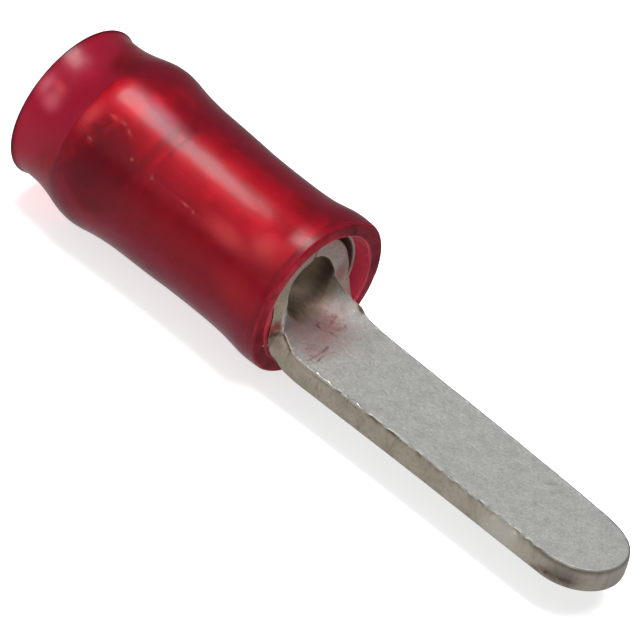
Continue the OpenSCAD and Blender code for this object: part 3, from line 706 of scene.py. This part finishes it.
def make_terminal(face_material, edge_material):
    halves = {side: outline(side) for side in (-1, 1)}
    verts, faces, which = [], [], []
    burr_at, bite_at, rim_at = [], [], []

    def grid(G, mat=0, burr=None, bite=None, rim=None):
        base, (a, b) = len(verts), G.shape[:2]
        verts.extend(G.reshape(-1, 3))
        for store, values in ((burr_at, burr), (bite_at, bite), (rim_at, rim)):
            store.extend(np.zeros(a * b) if values is None else np.asarray(values, float).reshape(-1))
        for i in range(a - 1):
            for j in range(b - 1):
                q = base + i * b + j
                faces.append((q, q + 1, q + b + 1, q + b))
                which.append(mat if np.isscalar(mat) else int(mat[i]))

    # upper and lower faces, each row from the left inset line to the right one
    PL, QL, tag, scl = halves[-1]
    PR, QR, _, scr = halves[1]
    n_t = int((tag <= 2).sum())
    # columns that meet the edge's own points along the wire end
    across = np.concatenate([np.linspace(-scl, 0, 15), np.linspace(0, scr, 15)[1:]])
    c = ((across + scl) / (scl + scr))[None]
    back = X_BACK + INSET
    for h in (0.5, -0.5):
        grid(roll(mix(QL[:n_t, :1], QR[:n_t, :1], c), mix(-QL[:n_t, 1:], QR[:n_t, 1:], c), h))
        u = np.linspace(0, 1, 41)[:, None]
        start = mix(QL[n_t - 1, 0], QR[n_t - 1, 0], c)
        grid(roll(mix(start, back, u), mix(-scl, scr, c).repeat(41, 0), h))
        for side, (P, Q, tg, sc) in halves.items():
            k3 = np.where(tg == 3)[0]
            s_cols = np.concatenate([[sc], Q[k3, 1]])[None]
            grid(roll(mix(x_cut(s_cols, side) - INSET, back, u), side * s_cols.repeat(41, 0), h))

    # the edge all round, from the upper face over the burr and the cut face to the rounded lower edge:
    # inset share, height, burr, bite
    rings = [(1.0, 0.5, 0, 0), (0.82, 0.5, 0.06, 0.10), (0.62, 0.5, 0.38, 0.35), (0.40, 0.5, 0.78, 0.6), (0.18, 0.503, 1.0, 0.85),
             (0.03, 0.500, 0.95, 1.0), (0.0, 0.465, 0.6, 1.0), (0.0, 0.41, 0.15, 0.75), (0.0, 0.32, 0, 0.35), (0.0, 0.20, 0, 0.1),
             (0.0, 0.05, 0, 0), (0.0, -0.10, 0, 0), (0.0, -0.23, 0, 0), (0.0, -0.34, 0, 0), (0.04, -0.405, 0, 0),
             (0.13, -0.445, 0, 0), (0.28, -0.475, 0, 0), (0.48, -0.491, 0, 0), (0.72, -0.499, 0, 0), (1.0, -0.5, 0, 0)]
    mats = [0, 0, 0, 0, 0] + [1] * (len(rings) - 10) + [0, 0, 0, 0, 0]
    for side, (P, Q, tg, sc) in halves.items():
        length = np.concatenate([[0], np.cumsum(np.hypot(*np.diff(P, axis=0).T))])
        w_burr, w_wavy, w_wall = waves(21 + side, 14, 4, 34), waves(41 + side, 12, 3.0, 18), waves(61 + side, 14, 10, 60)
        x = P[:, 0] + X_MID
        blade = (tg == 1) | (tg == 2) | ((tg == 3) & (P[:, 1] < sc + 0.45))
        meet = ease(length / 0.15) * ease((length[-1] - length) / 0.15)
        shear = np.where(tg <= 3, 1.0, 0.25)
        wavy = w_wavy(length) * shear * ease(length / 1.2) * meet
        if side < 0:
            # painted highlight: where the burr glints; the same mask also raises the burr
            burr_glint_and_rise = np.clip(bumps(BURRS, x), 0, 1) * blade * (0.8 + 0.25 * w_burr(length))
            burr_glint_and_rise = np.maximum(burr_glint_and_rise, np.where((tg == 3) & (P[:, 1] >= sc), (0.30 * ease((sc + 2.0 - P[:, 1]) / 1.0) + 0.6 * ease((sc + 0.8 - P[:, 1]) / 0.5)) * (0.7 + 0.5 * w_burr(length)), 0))
            bite = np.clip(bumps(BITES, x), 0, 1) * (tg == 1) * (1 - np.clip(burr_glint_and_rise, 0, 1))
            burr = 0.010 * np.maximum(0, w_burr(length) + 0.2) * shear + 0.058 * np.clip(burr_glint_and_rise, 0, 1)
            ragged = wavy * (0.008 + 0.020 * ease((x - 6.8) / 0.8) * ease((14.2 - x) / 1.0))
        else:
            # painted highlight: faint glints along the right edge
            burr_glint_and_rise = 0.15 * np.maximum(0, w_burr(length)) * shear
            nick = np.exp(-((x - 3.62) / 0.12) ** 2) * (tg <= 2)
            bite = 0.3 * nick
            burr = 0.010 * np.maximum(0, w_burr(length) + 0.1) * shear
            ragged = wavy * 0.006
        burr = burr * meet
        tip = ease((x - 13.7) / 0.9) * (tg <= 1)
        G, B, C, R = [], [], [], []
        for d, h, b, e in rings:
            inward = e * (0.075 * bite + np.maximum(ragged, -0.02)) + tip * 0.035 * e
            burr_here = burr * (1 - tip)
            inward = inward + 0.004 * w_wall(length) * (d == 0.0) * shear * meet
            dd = np.clip(d + (1 - d) * inward / INSET, -0.2, 1.0)
            pts = P + (Q - P) * dd[:, None]
            hh = h + (burr_here * b - 0.045 * bite * e - 0.03 * tip * e) / BLADE_T
            G.append(roll(pts[:, 0], side * pts[:, 1], hh))
            # the burr attribute marks the painted highlight of the glinting burr; the bite attribute also carries a
            # painted shadow just under it and painted shade on the rounded tip
            B.append(np.clip(burr_glint_and_rise, 0, 1) * min(1.0, b * 1.1))
            C.append(np.clip((bite + tip * 0.3) * min(1.0, e * 1.1) + (0.85 * np.clip(burr_glint_and_rise - 0.25, 0, 1) if 0.40 < h < 0.42 and side < 0 else 0.0), 0, 1))
            # the rim attribute marks the upper edge band, and the tip, where the material paints shade on the rounded
            # edge
            R.append(np.clip((1.0 if 0.01 < d < 0.5 and h > 0 else 0.0) * shear + tip * (1.2 if d < 0.7 and h > 0 else 0.0), 0, 1))
        grid(np.array(G), mats, np.array(B), np.array(C), np.array(R))
    return piece("tinned_terminal", verts, faces, [face_material, edge_material], "blade_terminal", sharp=38,
                 merge=4e-4, which=which, attrs={"burr": burr_at, "bite": bite_at, "rim": rim_at})


nylon = make_insulation(nylon_material())
support = make_support(sleeve_material())
terminal = make_terminal(terminal_material(), cut_material())


# ------------------------------------------------------------------- stage ----
def make_stage():
    me = bpy.data.meshes.new("floor")
    r, n = 3.0, 96
    z = (AXIS_Z - 2.79) * MM
    me.from_pydata([(r * math.cos(a), r * math.sin(a), z) for a in np.linspace(0, 2 * math.pi, n, endpoint=False)],
                   [], [tuple(range(n))])
    floor = bpy.data.objects.new("floor", me)
    bpy.context.scene.collection.objects.link(floor)
    mat = bpy.data.materials.new("floor_paper")
    mat.use_nodes = True
    b = mat.node_tree.nodes["Principled BSDF"]
    b.inputs["Base Color"].default_value = (0.66, 0.66, 0.655, 1)
    b.inputs["Emission Color"].default_value = (1.0, 1.0, 1.0, 1)
    b.inputs["Emission Strength"].default_value = 0.70
    b.inputs["Roughness"].default_value = 0.9
    b.inputs["Specular IOR Level"].default_value = 0.1
    me.materials.append(mat)
    floor.visible_glossy = False
    floor.visible_transmission = False

    world = bpy.data.worlds.new("world")
    bpy.context.scene.world = world
    world.use_nodes = True
    nt = world.node_tree
    bg = nt.nodes["Background"]
    tc, sep = nt.nodes.new("ShaderNodeTexCoord"), nt.nodes.new("ShaderNodeSeparateXYZ")
    rng, mixc = nt.nodes.new("ShaderNodeMapRange"), nt.nodes.new("ShaderNodeMix")
    mixc.data_type = "RGBA"
    rng.inputs["From Min"].default_value, rng.inputs["From Max"].default_value = -0.35, 0.10
    nt.links.new(tc.outputs["Generated"], sep.inputs[0])
    nt.links.new(sep.outputs[2], rng.inputs["Value"])
    nt.links.new(rng.outputs[0], mixc.inputs[0])
    mixc.inputs[6].default_value = (0.45, 0.45, 0.45, 1)
    mixc.inputs[7].default_value = (0.15, 0.15, 0.155, 1)
    # the far right of the studio is darker, and behind everything the backdrop is pale
    dot, dim, dark = nt.nodes.new("ShaderNodeVectorMath"), nt.nodes.new("ShaderNodeMapRange"), nt.nodes.new("ShaderNodeMix")
    dot.operation = "DOT_PRODUCT"
    dot.inputs[1].default_value = (0.55, 0.83, 0.0)
    nt.links.new(tc.outputs["Generated"], dot.inputs[0])
    dim.inputs["From Min"].default_value, dim.inputs["From Max"].default_value = 0.15, 0.75
    nt.links.new(dot.outputs["Value"], dim.inputs["Value"])
    dark.data_type = "RGBA"
    nt.links.new(dim.outputs[0], dark.inputs[0])
    nt.links.new(mixc.outputs[2], dark.inputs[6])
    dark.inputs[7].default_value = (0.19, 0.168, 0.168, 1)
    path, back = nt.nodes.new("ShaderNodeLightPath"), nt.nodes.new("ShaderNodeMix")
    back.data_type = "RGBA"
    nt.links.new(path.outputs["Is Camera Ray"], back.inputs[0])
    nt.links.new(dark.outputs[2], back.inputs[6])
    back.inputs[7].default_value = (0.86, 0.86, 0.855, 1)
    nt.links.new(back.outputs[2], bg.inputs[0])
    bg.inputs[1].default_value = 1.0

    def area(name, direction, dist, w, h, radiance, up=(1, 0, 0)):
        li = bpy.data.lights.new(name, "AREA")
        li.shape, li.size, li.size_y = "RECTANGLE", w, h
        li.energy = radiance * math.pi * w * h
        ob = bpy.data.objects.new(name, li)
        d = Vector(direction).normalized()
        z = d
        x = (Vector(up) - z * z.dot(Vector(up))).normalized()
        y = z.cross(x)
        m = Matrix((x, y, z)).transposed().to_4x4()
        m.translation = d * dist
        ob.matrix_world = m
        bpy.context.scene.collection.objects.link(ob)

    area("softbox", (-0.02, -0.05, 1.0), 0.60, 0.64, 0.20, 12.3)
    area("softbox_wide", (-0.02, -0.05, 1.0), 0.62, 0.80, 0.40, 1.2)
    area("fill", (-0.24, -0.70, 0.62), 0.70, 1.00, 0.72, 0.46)


make_stage()
vs = bpy.context.scene.view_settings
vs.view_transform, vs.look, vs.exposure, vs.gamma = "Standard", "None", 0.0, 1.0
